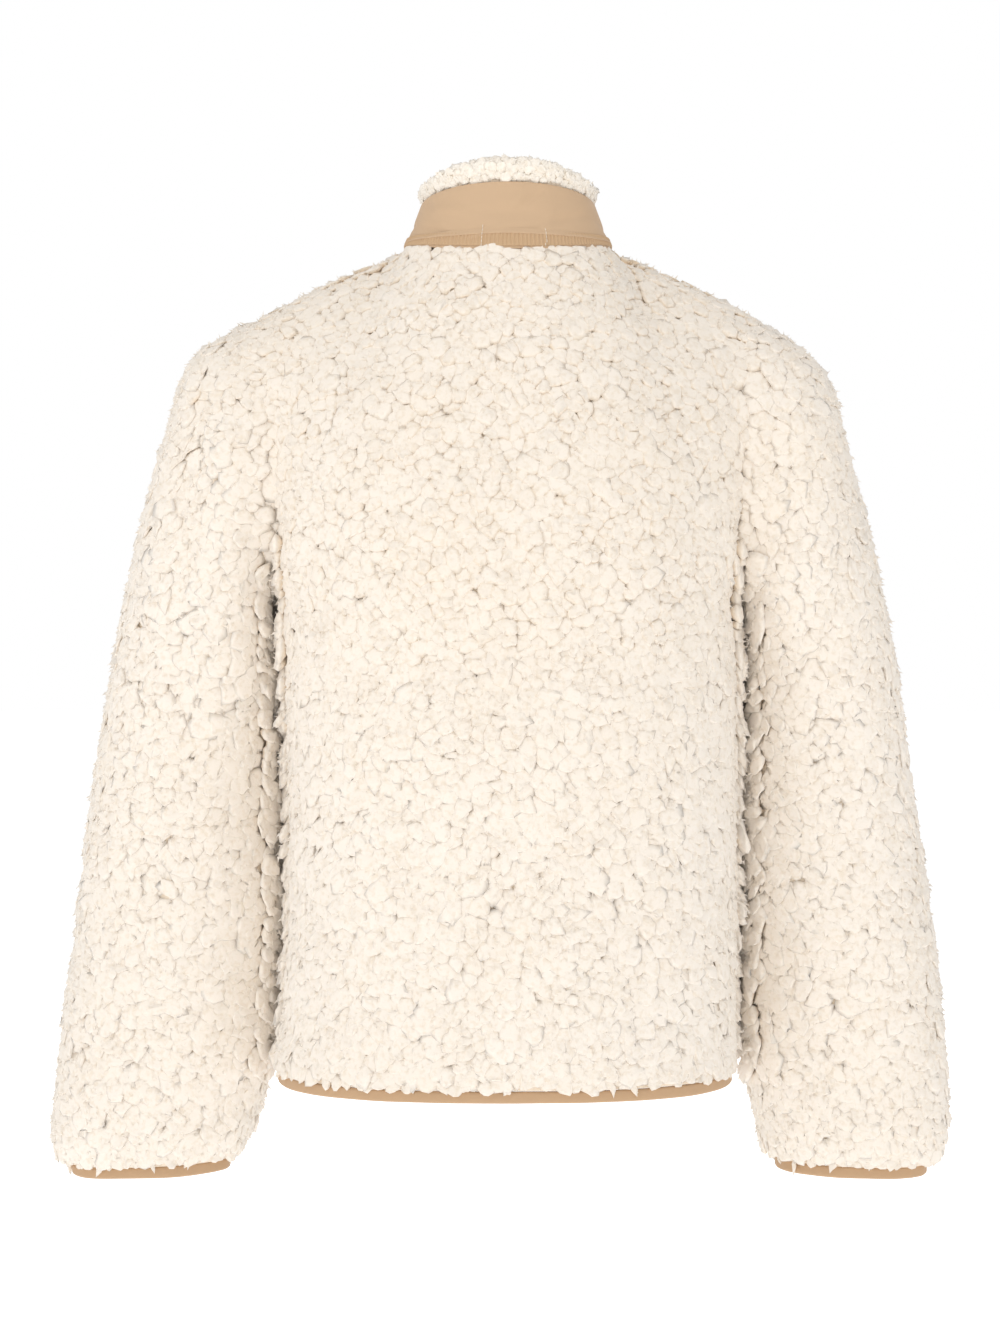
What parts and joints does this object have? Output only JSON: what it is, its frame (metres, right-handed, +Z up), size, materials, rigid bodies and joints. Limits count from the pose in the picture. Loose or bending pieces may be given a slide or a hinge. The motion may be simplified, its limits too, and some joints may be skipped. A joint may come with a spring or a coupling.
{
  "type": "deep-pile fleece jacket",
  "caption": "Boxy deep-pile fleece jacket with set-in sleeves, a woven stand collar and a full front zip, filled out as worn and open at neck, hem and cuffs.",
  "frame": {"origin": "middle of the neck opening, level with the highest points of the two shoulder seams, where the wearer's shoulders hold the jacket", "axes": "+Z up, the front and its zip face -Y, +X is the wearer's left"},
  "size_m": [0.731, 0.2959, 0.8131],
  "materials": {
    "back": "curly deep pile",
    "front_left": "curly deep pile",
    "front_right": "curly deep pile",
    "sleeve_left": "curly deep pile",
    "sleeve_right": "curly deep pile",
    "collar_facing": "curly deep pile",
    "collar_shell": "plain weave",
    "neck_tape": "plain weave",
    "hem_binding": "plain weave",
    "cuff_binding_left": "plain weave",
    "cuff_binding_right": "plain weave",
    "zip_tape_left": "woven tape",
    "zip_tape_right": "woven tape",
    "zip_chain": "moulded, satin",
    "zip_box": "satin",
    "zip_slider": "satin",
    "zip_pull": "satin"
  },
  "bodies": {
    "jacket": {"back": "back", "front_left": "front_left", "front_right": "front_right", "sleeve_left": "sleeve_left", "sleeve_right": "sleeve_right", "collar_facing": "collar_facing", "collar_shell": "collar_shell", "neck_tape": "neck_tape", "hem_binding": "hem_binding", "cuff_binding_left": "cuff_binding_left", "cuff_binding_right": "cuff_binding_right", "zip_tape_left": "zip_tape_left", "zip_tape_right": "zip_tape_right", "zip_chain": "zip_chain", "zip_box": "zip_box", "zip_slider": "zip_slider"},
    "pull": {"zip_pull": "zip_pull"}
  },
  "joints": [
    {"name": "pull_hinge", "type": "hinge", "parent": "jacket", "child": "pull", "pos_m": [0, -0.08345, -0.0045], "axis": [-1, 0, 0], "range_deg": [0, 150]}
  ]
}
